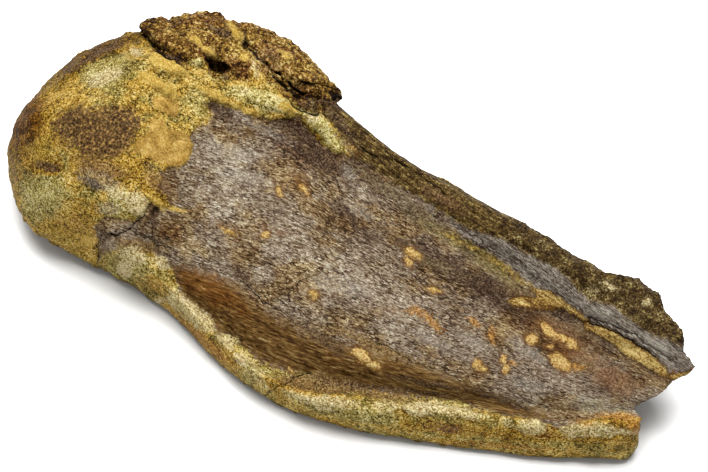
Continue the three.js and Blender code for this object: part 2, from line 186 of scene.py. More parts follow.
# The bone's grain runs between these two lines, from the head to the broken end. The grain's coordinates
# count GRAIN_WIDTH mm from one line to the other, and GRAIN_DEPTH for each mm towards the viewpoint.
UPPER_GRAIN_LINE = [
    (0, 60), (200, 98), (300, 118), (345, 150), (400, 187), (450, 219), (505, 252), (556, 290), (619, 330),
    (690, 372),
]
LOWER_GRAIN_LINE = [
    (0, 225), (100, 262), (172, 292), (260, 330), (320, 354), (420, 384), (545, 412), (690, 436),
]
GRAIN_WIDTH = 75.0
GRAIN_DEPTH = 0.4

# Small raised spots of matrix on the shaft: x, y, half length, half width, tilt in degrees.
SPOTS = [
    (304, 189, 7, 3.5, 55), (279, 191, 5.5, 3, 60), (229, 232, 7.5, 2.5, 30), (265, 236, 4.5, 4, 0),
    (313, 295, 5, 4, 30), (361, 356, 10, 6, 42), (375, 366, 9, 3.5, 18), (352, 148, 5, 2, 40),
    (291, 369, 4, 1.6, 35), (477, 364, 5, 4.5, 60), (483, 370, 5, 3, 40), (503, 360, 4, 5, 0),
    (506, 369, 4, 5, 10), (531, 339, 6, 4.5, 20), (549, 331, 11, 4.5, 42), (562, 338, 9, 3.5, 25),
    (572, 344, 9, 4, 35), (560, 362, 12, 7, 45), (550, 346, 3, 2, 0), (413, 254, 8, 4, 30),
    (409, 262, 5, 3, 60), (434, 290, 7, 3, 15),
]

# Low forms raised or sunk on the bone: x, y, half length, half width, tilt in degrees, height in mm.
FORMS = [
    (170, 67, 24, 6, 28, 1.8), (158, 86, 27, 6, 32, 1.8), (163, 77, 18, 4, 30, -1.3),
    (166, 107, 14, 9, 20, 0.8), (197, 63, 8, 6, 10, 2.4), (217, 69, 9, 8, -20, -7.0),
    (211, 62, 7, 4, 35, -3.0), (224, 67, 5, 6, 0, -3.0), (168, 141, 24, 22, 0, 0.7),
    (129, 202, 20, 15, 15, 1.2), (312, 104, 9, 6, 20, 1.8), (131, 264, 17, 14, 20, 1.0),
    (325, 131, 24, 7, 52, 1.2), (163, 262, 8, 5, 20, 0.8), (268, 102, 34, 7, 16, 1.0),
    (196, 112, 12, 16, 30, 0.8), (182, 130, 9, 10, 0, 0.7), (95, 62, 30, 7, -28, 0.8),
    (60, 205, 20, 14, 40, 0.6), (48, 168, 20, 6, 5, -0.8), (213, 95, 20, 5, 26, 1.0),
    (350, 400, 40, 5, 8, 0.8), (440, 412, 50, 6, 8, 0.8), (615, 424, 30, 8, 5, 0.8),
    (566, 318, 26, 6, 26, -1.2), (85, 135, 34, 22, 10, -0.6), (28, 125, 10, 24, 15, 0.5),
    (115, 227, 18, 8, -8, 0.6), (115, 245, 14, 8, 5, 0.6), (156, 213, 4, 8, 20, -2.6),
    (166, 241, 3.5, 3, 0, -1.2), (530, 428, 16, 6, 8, 0.9), (203, 47, 17, 5, 38, 1.2),
    (236, 32, 14, 9, 60, 1.0), (283, 57, 14, 8, 38, 1.0), (240, 72, 14, 9, 0, -0.8),
    (604, 312, 18, 6, 22, 0.5), (320, 91, 22, 3.5, 6, 0.8), (262, 60, 17, 4, 45, 1.2),
    (275, 80, 15, 4, 42, 1.4), (600, 285, 20, 9, 30, 0.8),
]

# Stains that only change the colour, and painted shade: x, y, half length, half width, tilt in degrees,
# strength. "pale" is lighter above 0 and darker below it, "warm" is rustier above 0 and greener or greyer
# below it, and "olive" is a green film. Some darker "pale" ones are painted shade: along the rim of the
# head, under the seam's ledge and below the crust's edge.
TINTS = {
    "pale": [
        (228, 166, 34, 24, 20, 0.35), (268, 134, 34, 12, 24, -0.35), (320, 268, 66, 22, 22, 0.35),
        (362, 212, 16, 8, 30, 0.3), (395, 300, 56, 24, 22, 0.25), (604, 408, 40, 13, 12, 0.75),
        (128, 200, 22, 12, 24, 0.7), (98, 73, 14, 10, -15, 0.6), (42, 195, 22, 20, 45, 0.4),
        (270, 62, 40, 20, 42, 0.4), (262, 101, 38, 11, 15, 0.7), (205, 76, 12, 7, 25, 0.7),
        (325, 131, 26, 8, 52, 0.9), (196, 62, 8, 6, 0, 0.5), (322, 388, 50, 8, 8, -0.5),
        (215, 290, 24, 9, 35, -0.4), (232, 150, 30, 14, 15, 0.3), (158, 264, 12, 6, 20, 0.3),
        (620, 428, 26, 12, 0, -0.5), (318, 158, 34, 20, 34, -0.8), (415, 212, 30, 14, 34, -0.7),
        (345, 225, 40, 14, 28, -0.45), (218, 110, 18, 6, 20, -0.8), (300, 128, 24, 8, 30, -0.6),
        (362, 172, 36, 10, 38, -0.7), (450, 268, 64, 16, 28, -0.7), (510, 300, 60, 16, 24, -0.7),
        (570, 320, 28, 6, 24, -0.5), (535, 325, 44, 12, 26, -0.6), (596, 346, 36, 6, 28, -0.7),
        (600, 318, 40, 8, 32, 0.3), (500, 246, 26, 6, 28, -0.5), (26, 130, 17, 60, 16, -0.75),
        (47, 167, 16, 8, 10, -0.7), (94, 56, 54, 15, -28, -1.0), (88, 184, 14, 6, 25, -0.3),
        (75, 218, 24, 12, 20, 0.3), (170, 55, 22, 7, 28, -1.0), (140, 40, 10, 6, 20, -0.5),
        (322, 98, 26, 13, 5, -0.75), (156, 212, 5, 9, 15, -1.0), (620, 372, 24, 8, 24, -0.4),
        (292, 340, 34, 9, 26, -0.35), (420, 380, 50, 6, 14, -0.25), (360, 190, 14, 12, 30, 0.3),
        (555, 352, 26, 12, 20, -0.6), (470, 248, 34, 7, 28, -0.6), (655, 346, 20, 6, 30, 0.9),
        (636, 354, 22, 5, 36, 0.6), (518, 303, 14, 4, 5, 1.0), (520, 272, 20, 5, 40, 0.3),
        (222, 208, 38, 20, 30, 0.42), (240, 72, 13, 9, 0, -0.4), (222, 34, 10, 8, 20, -0.5),
    ],
    "warm": [
        (425, 318, 26, 9, 22, 0.8), (494, 340, 12, 20, 0, 0.5), (612, 380, 34, 14, 20, 0.4),
        (560, 342, 36, 20, 24, 0.6), (210, 290, 50, 16, 30, 0.5), (30, 122, 18, 40, 18, 1.0),
        (520, 318, 30, 12, 20, 0.3), (620, 420, 30, 8, 5, 0.8), (290, 182, 26, 12, 10, 0.5),
        (682, 374, 20, 8, 0, 1.0), (75, 225, 28, 14, 15, 0.5), (47, 167, 16, 8, 5, 0.6),
        (94, 54, 50, 12, -28, 0.7), (100, 138, 44, 28, 0, 0.4), (165, 190, 14, 16, 10, 0.4),
        (300, 388, 44, 9, 8, 0.6), (172, 232, 20, 14, 30, 0.5), (450, 190, 40, 8, 33, 0.5),
        (90, 245, 16, 12, 20, 0.3), (245, 72, 24, 14, 10, 0.5), (155, 280, 18, 12, 40, 0.5),
        (200, 338, 50, 8, 42, 0.9), (530, 434, 110, 8, 3, 0.7), (300, 160, 40, 16, 25, 0.3),
        (100, 172, 46, 13, 10, 0.45), (445, 428, 20, 6, 5, 0.7), (320, 256, 60, 16, 22, -0.5),
        (400, 300, 60, 24, 25, -0.9), (520, 368, 90, 16, 18, -0.9), (112, 72, 32, 16, -15, -1.0),
        (42, 195, 26, 22, 40, -0.8), (132, 266, 22, 16, 10, -0.8), (262, 100, 38, 9, 14, -0.6),
        (195, 100, 12, 22, 0, -0.4), (325, 131, 28, 9, 52, -1.0), (197, 62, 9, 7, 0, -1.0),
        (350, 412, 60, 8, 8, -0.5), (130, 95, 24, 10, 15, -0.5), (232, 186, 44, 36, 25, -0.6),
    ],
    "olive": [
        (480, 252, 50, 12, 28, 0.7), (425, 225, 34, 8, 30, 0.5), (380, 165, 34, 8, 33, 0.5),
        (510, 278, 40, 8, 28, 0.5), (230, 170, 40, 26, 20, 0.25), (604, 408, 40, 12, 12, 0.5),
    ],
}

# Patches of another colour: x, y, half length, half width, tilt in degrees.
PATCHES = {
    "yellow": [
        (168, 66, 22, 6, 28), (158, 86, 25, 6, 32), (213, 95, 20, 4, 26), (240, 108, 16, 3, 20),
        (233, 31, 13, 3, 62), (203, 47, 16, 3.5, 38), (243, 57, 5, 4, 0), (284, 56, 9, 2, 38),
        (158, 203, 10, 3, 45), (177, 209, 9, 2, 8), (88, 240, 9, 5, 10), (288, 108, 10, 5, 10),
    ],
    "gold": [
        (468, 246, 12, 2.2, 24), (500, 264, 18, 2.4, 29), (452, 238, 8, 3, 30), (60, 235, 22, 9, 30),
        (40, 150, 10, 12, 20), (520, 280, 14, 2, 28),
    ],
    "film": [
        (396, 196, 46, 6, 34), (436, 230, 34, 7, 32), (486, 266, 36, 6, 30), (520, 288, 20, 4, 24),
        (430, 262, 24, 4, 26),
    ],
    "orange": [
        (432, 322, 13, 4, 45), (418, 312, 9, 3, 15), (619, 417, 21, 4, 5), (589, 423, 11, 3, 0),
        (636, 428, 6, 8, 0), (475, 322, 7, 3, 30), (492, 336, 2.2, 7, -12), (514, 363, 4, 3, 0),
        (575, 366, 9, 3, 15), (500, 446, 50, 2, 4), (210, 345, 26, 3, 42),
    ],
    "tan": [
        (322, 384, 46, 9, 7), (380, 396, 30, 4, 8), (378, 347, 40, 5, 22), (140, 246, 24, 6, 10),
    ],
    "cream": [
        (118, 192, 14, 5, 24), (138, 203, 13, 9, 50), (106, 78, 18, 7, -22), (134, 255, 13, 8, 20),
        (126, 268, 9, 8, 0), (161, 262, 8, 5, 20), (137, 53, 5, 3.5, 0), (312, 118, 7, 5, 10),
        (243, 92, 4, 3, 0), (612, 430, 24, 3, 8), (312, 104, 3, 3, 0), (255, 70, 2, 6, -20),
        (348, 146, 6, 2, 45), (609, 286, 7, 2.5, 20), (593, 290, 4, 3, 0), (646, 302, 2.5, 4, 20),
        (630, 352, 13, 3, 35), (160, 301, 5, 3, 0), (205, 317, 6, 5, 40), (420, 409, 12, 4, 3),
        (240, 360, 7, 5, 40), (228, 341, 6, 4, 30), (440, 408, 30, 4, 4), (330, 402, 26, 4, 8),
        (186, 303, 18, 5, 40),
    ],
    # Some dark patches are painted shade: along the rim of the head, under the seam's ledge and below the
    # crust's edge.
    "dark": [
        (418, 212, 10, 6, 20), (341, 208, 12, 5, 20), (354, 222, 7, 5, 60), (384, 231, 9, 4, 20),
        (374, 238, 9, 4, 20), (352, 185, 8, 6, 0), (375, 190, 7, 5, 30), (322, 160, 22, 9, 25),
        (402, 243, 9, 4, 10), (452, 270, 22, 6, 25), (482, 280, 16, 6, 20), (560, 312, 30, 5, 12),
        (500, 291, 24, 3, 10), (602, 340, 26, 4, 27), (640, 364, 26, 3, 35), (216, 107, 12, 4, 15),
        (290, 128, 22, 5, 22), (340, 168, 18, 5, 35), (380, 182, 20, 4, 33), (47, 166, 13, 5, 12),
        (95, 185, 12, 4, 20), (152, 165, 7, 2, 20), (155, 212, 5, 8, 15), (166, 241, 4, 3, 0),
        (211, 61, 8, 3, 35), (224, 78, 6, 3, 10), (332, 103, 16, 5, 5), (310, 108, 11, 4, 15),
        (300, 92, 12, 4, 42), (213, 30, 8, 3, 40), (225, 35, 8, 4, 30), (170, 58, 18, 3, 28),
        (400, 390, 60, 2.5, 6), (310, 330, 30, 3, 28), (430, 384, 40, 3, 10), (495, 398, 30, 3, 22),
        (330, 347, 24, 2.5, 30), (240, 275, 20, 4, 40), (96, 57, 34, 5, -28), (92, 182, 12, 4, 22),
        (344, 128, 24, 4, 52), (259, 58, 20, 2, 46),
    ],
    "slate": [
        (232, 152, 26, 8, 10), (250, 178, 30, 6, 20), (262, 128, 20, 3, 28), (350, 174, 8, 5, 40),
        (362, 212, 13, 6, 35), (604, 312, 16, 5, 22), (650, 343, 20, 4, 30), (110, 208, 12, 6, 0),
        (100, 180, 22, 9, 18), (502, 246, 16, 3, 30), (478, 344, 22, 6, 24), (604, 408, 34, 8, 12),
        (430, 340, 30, 5, 25), (530, 352, 22, 6, 30), (340, 285, 30, 8, 15), (430, 208, 5, 3, 40),
        (530, 385, 18, 6, 15),
    ],
    "russet": [
        (614, 380, 28, 12, 22), (560, 332, 26, 9, 30), (590, 358, 18, 6, 20), (398, 310, 20, 3, 5),
        (156, 181, 14, 8, 40), (102, 168, 26, 7, 14), (280, 232, 10, 3, 10), (215, 278, 20, 3, 20),
        (445, 200, 24, 5, 30), (262, 62, 16, 3, 48), (270, 55, 12, 4, 50), (445, 428, 14, 3, 8),
    ],
}

# Cracks: half width and depth in mm, then the line in photo pixels.
CRACKS = [
    (0.25, 0.7, [(97, 262), (98, 254), (97, 246), (99, 239), (103, 236), (112, 235), (118, 236), (126, 231),
                 (131, 227), (138, 221), (146, 213), (152, 206)]),
    (0.2, 0.5, [(131, 229), (139, 235), (149, 239), (158, 245), (168, 247)]),
    (0.2, 0.6, [(146, 220), (151, 225), (153, 232), (152, 238)]),
    (0.25, 1.0, [(266, 395), (274, 389), (284, 385), (289, 379), (298, 375), (309, 373)]),
    (0.2, 0.6, [(317, 387), (321, 393)]),
    (0.15, 0.3, [(288, 258), (296, 264), (299, 270), (304, 271)]),
    (0.15, 0.3, [(270, 262), (280, 268), (287, 281), (288, 290), (284, 298)]),
    (0.2, 0.5, [(289, 300), (291, 292), (298, 284), (303, 280), (312, 276), (319, 272)]),
    (0.2, 0.5, [(248, 285), (256, 296), (264, 303), (275, 307), (282, 312), (289, 319)]),
    (0.15, 0.3, [(238, 256), (250, 261), (262, 266), (275, 276)]),
    (0.2, 0.4, [(376, 341), (388, 347), (400, 354), (412, 361), (430, 370)]),
    (0.15, 0.3, [(296, 316), (310, 322), (322, 330)]),
    (0.15, 0.3, [(500, 397), (512, 402), (528, 414), (545, 420), (556, 428)]),
    (0.5, 1.8, [(300, 84), (315, 84), (330, 86), (343, 90)]),
    (0.6, 2.2, [(303, 96), (318, 97), (330, 99), (344, 99)]),
    (0.5, 2.0, [(293, 104), (300, 110), (310, 114), (318, 113)]),
    (0.5, 1.5, [(363, 148), (370, 154), (376, 157)]),
    (0.5, 1.4, [(395, 159), (402, 165), (410, 169), (420, 175)]),
    (0.3, 0.8, [(424, 179), (434, 186), (446, 193)]),
    (0.15, 0.3, [(169, 118), (166, 127), (170, 134), (176, 141), (184, 142)]),
    (0.3, 0.8, [(586, 322), (600, 326), (620, 335), (636, 344), (655, 358)]),
    (0.25, 0.8, [(588, 318), (610, 324), (632, 334), (655, 349), (670, 362)]),
    (0.6, 2.0, [(142, 33), (150, 42), (158, 51), (168, 57), (178, 62)]),
    (0.6, 2.0, [(246, 44), (254, 52), (264, 63), (274, 74)]),
    (1.5, 4.5, [(274, 74), (286, 86), (300, 96)]),
]

# ---- fields over the bone
# A field is measured up to this many mm from its region's edge.
FAR = 8.0

# How far in mm the noise shifts what is drawn, so that its edges run raggedly.
RAGGED = {"regions": 0.8, "tints": 1.25, "forms": 1.0, "cracks": 1.1}
RAGGED_LENGTH = 5.0

# A surface fades from unseen to seen between these two, where 1 faces the photograph's viewpoint.
UNSEEN, SEEN = -0.1, 0.15

# Each noise or pore pattern is moved by its seed times this, so that no two are alike.
NOISE_STEP = (17.3, -9.1, 5.7)
PORE_STEP = (11.9, 4.3, -7.7)

# Where the regions lie on the sides that the photograph doesn't show, in mm.
HEAD_END_X = -88
SLAB_FRONT_Y, SLAB_BOTTOM_Z, SLAB_END_X = 5, 48, -36
LIP_BACK_Y = -30
STRIP_START_X = -60
RIDGE_FRONT_Y, RIDGE_START_X = 8, 96
BREAK_START_X, BREAK_FULL_X = 60, 90


def smoothstep(low, high, value):
    t = np.clip((value - low) / (high - low), 0, 1)
    return t * t * (3 - 2 * t)


def segment_distance(points, a, b):
    """Each point's distance to the stretch a-b, and which side of it the point is on."""
    along = b - a
    t = np.clip(((points - a) @ along) / (along @ along), 0, 1)
    nearest = a + t[:, None] * along
    side = along[0] * (points[:, 1] - a[1]) - along[1] * (points[:, 0] - a[0])
    return np.hypot(*(points - nearest).T), np.where(side < 0, -1.0, 1.0)


def inside_outline(points, outline):
    """The distance in mm from an outline's edge: above 0 inside it, below 0 outside."""
    corners = np.array(outline, float)
    distance = np.full(len(points), np.inf)
    inside = np.zeros(len(points), bool)
    for a, b in zip(corners, np.roll(corners, -1, axis=0)):
        distance = np.minimum(distance, segment_distance(points, a, b)[0])
        crosses = (a[1] > points[:, 1]) != (b[1] > points[:, 1])
        slope = (b[0] - a[0]) / (b[1] - a[1]) if b[1] != a[1] else 0.0
        inside ^= crosses & (points[:, 0] < a[0] + slope * (points[:, 1] - a[1]))
    return np.where(inside, distance, -distance) / PIXELS_PER_MM


def in_ellipse(points, x, y, half_length, half_width, tilt):
    """0 at an ellipse's middle and 1 at its edge."""
    angle = math.radians(tilt)
    dx, dy = points[:, 0] - x, points[:, 1] - y
    along = dx * math.cos(angle) + dy * math.sin(angle)
    across = dy * math.cos(angle) - dx * math.sin(angle)
    return np.hypot(along / half_length, across / half_width)


def noise_field(points, length, octaves=1, seed=0):
    """Smooth noise from about -1 to 1, with lumps of that length in mm."""
    shift = Vector([seed * step for step in NOISE_STEP])
    scaled = points / length
    if octaves == 1:
        return np.array([noise.noise(Vector(p) + shift) for p in scaled])
    return np.array([noise.fractal(Vector(p) + shift, 0.9, 2.0, octaves) for p in scaled])


def pore_field(points, length, seed=0):
    """The distance to the nearest cell middle, for cells of that length in mm: about 0 to 1."""
    shift = Vector([seed * step for step in PORE_STEP])
    return np.array([noise.voronoi(Vector(p) + shift)[0][0] for p in points / length])


def grain_coordinates(points):
    """Coordinates in mm that follow the bone's grain: along it, across it, and through it."""
    x, y = to_photo(points).T
    upper, lower = (np.interp(x, *np.array(line, float).T) for line in (UPPER_GRAIN_LINE, LOWER_GRAIN_LINE))
    across = (y - upper) / (lower - upper) * GRAIN_WIDTH
    return np.stack([x / PIXELS_PER_MM, across, (points @ BACK) * GRAIN_DEPTH], axis=1)


def ragged_pixels(points):
    """Where points lie in the photograph, for each kind of drawing, shifted about by noise."""
    pixels = to_photo(points)
    shift = np.stack([noise_field(points, RAGGED_LENGTH, 3, seed) for seed in (21, 22)], axis=1)
    return {name: pixels + reach * PIXELS_PER_MM * shift for name, reach in RAGGED.items()}


def region_fields(points, pixels, seen):
    """For each region, how far in mm inside it each point is. Off the photographed side they follow rules."""
    x, y, z = points.T
    head = (HEAD_END_X - x) / 2
    unseen = {
        "crust": np.maximum(head, 6 * noise_field(points, 34, 2, 3) - 2.5),
        "slab": np.where(y > SLAB_FRONT_Y, np.minimum(z - SLAB_BOTTOM_Z, (SLAB_END_X - x) / 2), -FAR),
        "spongy": np.minimum(head, 5 * noise_field(points, 30, 1, 5) - 1.5),
        "ochre": 6 * noise_field(points, 26, 1, 8) - 4,
        "lip": np.minimum(8 - 0.35 * z, (LIP_BACK_Y - y) / 2),
        "strip": (x - STRIP_START_X) / 6 * np.where(y > 0, 1, -1),
        "ridge": (x - RIDGE_START_X) / 3 * np.where(y > RIDGE_FRONT_Y, 1, -1),
    }
    fields = {}
    for name, outlines in REGIONS.items():
        drawn = np.max([inside_outline(pixels, outline) for outline in outlines], axis=0)
        rule = unseen.get(name, -FAR)
        fields[name] = seen * np.clip(drawn, -FAR, FAR) + (1 - seen) * np.clip(rule, -FAR, FAR)
    for name, ellipses in {"spot": SPOTS, **PATCHES}.items():
        inside = np.full(len(x), -FAR)
        for ellipse in ellipses:
            size = min(ellipse[2], ellipse[3]) / PIXELS_PER_MM
            inside = np.maximum(inside, (1 - in_ellipse(pixels, *ellipse)) * size)
        fields[name] = seen * inside - FAR * (1 - seen)
    return fields


def ellipse_total(pixels, ellipses, fade):
    """The sum of the ellipses' strengths where each point is."""
    total = np.zeros(len(pixels))
    for *ellipse, strength in ellipses:
        total += strength * smoothstep(*fade, in_ellipse(pixels, *ellipse))
    return total


def crack_fields(pixels):
    """The nearest crack: on which side and how far off, its half width and its depth, all in mm."""
    nearest = np.full(len(pixels), FAR)
    side, width, depth = np.ones(len(pixels)), np.full(len(pixels), 0.3), np.zeros(len(pixels))
    for half_width, deep, line in CRACKS:
        corners = np.array(line, float)
        for a, b in zip(corners[:-1], corners[1:]):
            distance, which = segment_distance(pixels, a, b)
            distance /= PIXELS_PER_MM
            closer = distance < nearest
            nearest = np.where(closer, distance, nearest)
            side = np.where(closer, which, side)
            width = np.where(closer, half_width, width)
            depth = np.where(closer, deep, depth)
    return nearest * side, nearest, width, depth


# ---- the bone's mesh
VOXEL = 0.85
SMOOTH_STEPS = 10
FACES_KEPT = 0.60

# Only what looks further away from the photograph's viewpoint than this is thinned out.
HIDDEN = -0.15

# A region's share runs from 0 at this many mm outside its edge to 1 at as many inside.
EDGE_SOFTNESS = 0.8

# Where an ellipse's strength has gone and where it is full, as shares of its size.
STAIN_FADE = (1.35, 0.25)
FORM_FADE = (1.15, 0.45)

# The relief carved on each part: how high in mm each texture stands there. "all" is the whole bone, or
# an even height.
RELIEF = {
    "all": {"grit": 0.05},
    "cortex": {"fibres": 0.05},
    "slope": {"fibres": 0.22},
    "crust": {"lumps": 0.30, "grit": 0.10, "swell": 0.5},
    "crust_edge": {"all": 0.6},
    "lip": {"lumps": 0.25, "grit": 0.06},
    "slab": {"lumps": 0.9, "grit": 0.5, "shards": 1.0},
    "ridge": {"lumps": 0.8, "grit": 0.5},
    "strip": {"lumps": 0.30, "fibres": 0.25},
    "spot": {"all": 0.6},
    "seam": {"all": 0.5},
    "broken": {"all": -0.5, "lumps": -0.5, "grit": -0.3},
    "spongy": {"pores": -1.0},
}


def rows(data, key):
    """What each vertex keeps under that key, as rows of x, y and z."""
    values = np.zeros(len(data) * 3, np.float32)
    data.foreach_get(key, values)
    return values.reshape(-1, 3).astype(float)


def move_to(mesh, points):
    mesh.vertices.foreach_set("co", (points * MM).astype(np.float32).ravel())
    mesh.update()


def store(mesh, name, values):
    """Keeps a number, or a vector, for each vertex, for the material to read."""
    kind, key = ("FLOAT", "value") if values.ndim == 1 else ("FLOAT_VECTOR", "vector")
    layer = mesh.attributes.new(name, kind, "POINT")
    layer.data.foreach_set(key, values.astype(np.float32).ravel())


def apply_modifier(obj, kind, **settings):
    modifier = obj.modifiers.new(kind, kind)
    for key, value in settings.items():
        setattr(modifier, key, value)
    bpy.context.view_layer.objects.active = obj
    bpy.ops.object.modifier_apply(modifier=modifier.name)


def fine_copy(node):
    """A fine, evenly meshed and lightly smoothed copy of the CAD solid."""
    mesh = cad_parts[node].data.copy()
    mesh.name = "bone_surface"
    mesh.materials.clear()
    obj = bpy.data.objects.new("bone_surface", mesh)
    bpy.context.scene.collection.objects.link(obj)
    apply_modifier(obj, "WELD", merge_threshold=1e-6)
    apply_modifier(obj, "REMESH", mode="VOXEL", voxel_size=VOXEL * MM, use_smooth_shade=True)
    apply_modifier(obj, "SMOOTH", factor=0.5, iterations=SMOOTH_STEPS)
    hidden = obj.vertex_groups.new(name="hidden")
    for index in np.nonzero(rows(obj.data.vertex_normals, "vector") @ BACK < HIDDEN)[0]:
        hidden.add([int(index)], 1.0, "REPLACE")
    apply_modifier(obj, "DECIMATE", ratio=FACES_KEPT, vertex_group="hidden", vertex_group_factor=3.0)
    obj.vertex_groups.clear()
    return obj


def make_bone():
    obj = fine_copy("bone")
    mesh = obj.data
    points, out = rows(mesh.vertices, "co") / MM, rows(mesh.vertex_normals, "vector")
    facing = out @ BACK
    seen = smoothstep(UNSEEN, SEEN, facing)
    pixels = ragged_pixels(points)
    grain = grain_coordinates(points)
    fields = region_fields(points, pixels["regions"], seen)
    tints = {name: np.clip(ellipse_total(pixels["tints"], stains, STAIN_FADE), -1, 1) * seen
             for name, stains in TINTS.items()}
    crack_side, crack_distance, crack_width, crack_depth = crack_fields(pixels["cracks"])
    crack_depth *= smoothstep(0.0, 0.2, facing)

    textures = {
        "all": 1.0,
        "lumps": noise_field(points, 4.5, 3, 1),
        "grit": noise_field(points, 1.9, 2, 2),
        "fibres": noise_field(grain * np.array([0.15, 1.0, 1.0]), 1.8, 2, 4),
        "swell": noise_field(points, 16.0, 2, 6),
        "pores": smoothstep(0.5, 0.2, pore_field(points, 1.9, 1)),
        "shards": pore_field(grain * np.array([0.45, 1.0, 1.0]), 5.0, 2) - 0.5,
    }
    inside = {name: smoothstep(-EDGE_SOFTNESS, EDGE_SOFTNESS, field) for name, field in fields.items()}
    parts = {
        **inside,
        "all": 1.0,
        "cortex": np.prod([1 - inside[name] for name in ("crust", "lip", "slab", "ridge")], axis=0),
        "crust": inside["crust"] * (1 - 0.6 * inside["ochre"]),
        "crust_edge": smoothstep(-0.5, 1.2, fields["crust"]),
        "lip": inside["lip"] * smoothstep(0.0, 0.5, out[:, 2]),
        "spot": smoothstep(-0.2, 1.0, fields["spot"]),
        "broken": smoothstep(0.4, 0.8, out[:, 0]) * smoothstep(BREAK_START_X, BREAK_FULL_X, points[:, 0]),
    }
    lift = ellipse_total(pixels["forms"], FORMS, FORM_FADE) * seen
    for part, heights in RELIEF.items():
        lift += parts[part] * sum(height * textures[name] for name, height in heights.items())
    lift -= crack_depth * smoothstep(crack_width + 1.0, crack_width * 0.3, crack_distance)
    moved = points + out * lift[:, None]

    move_to(mesh, np.clip(moved, *(np.array(cad_box) / MM)))
    cracks = {"crack_side": crack_side, "crack_width": crack_width, "crack_depth": crack_depth}
    for name, values in {"grain": grain, "up": out[:, 2], **cracks, **fields, **tints}.items():
        store(mesh, name, values)
    return obj


# ---- materials
# The floor is lit past white, as in the photograph, so the bone's own colours are this much darker
# than they are to look on screen.
BONE_SHADE = 0.55

# The relief that is too fine for the mesh: how high it stands, in mm, and how much of it shows.
BUMP_HEIGHT = 0.4
BUMP_STRENGTH = 0.9

# The noises from 0 to 1 that a sum takes as swings about 0. It takes every other value as it is.
SWINGS = ("patch", "blotch", "mottle", "stain", "grit", "grains", "fleck", "fibre", "flake", "streak",
          "thread")


def rgb(red, green, blue, shade=BONE_SHADE):
    """A colour as it is to look on screen, 0 to 255, as the linear one that a shader takes."""
    channels = [c / 255 for c in (red, green, blue)]
    linear = [c / 12.92 if c < 0.04045 else ((c + 0.055) / 1.055) ** 2.4 for c in channels]
    return (*(c * shade for c in linear), 1.0)


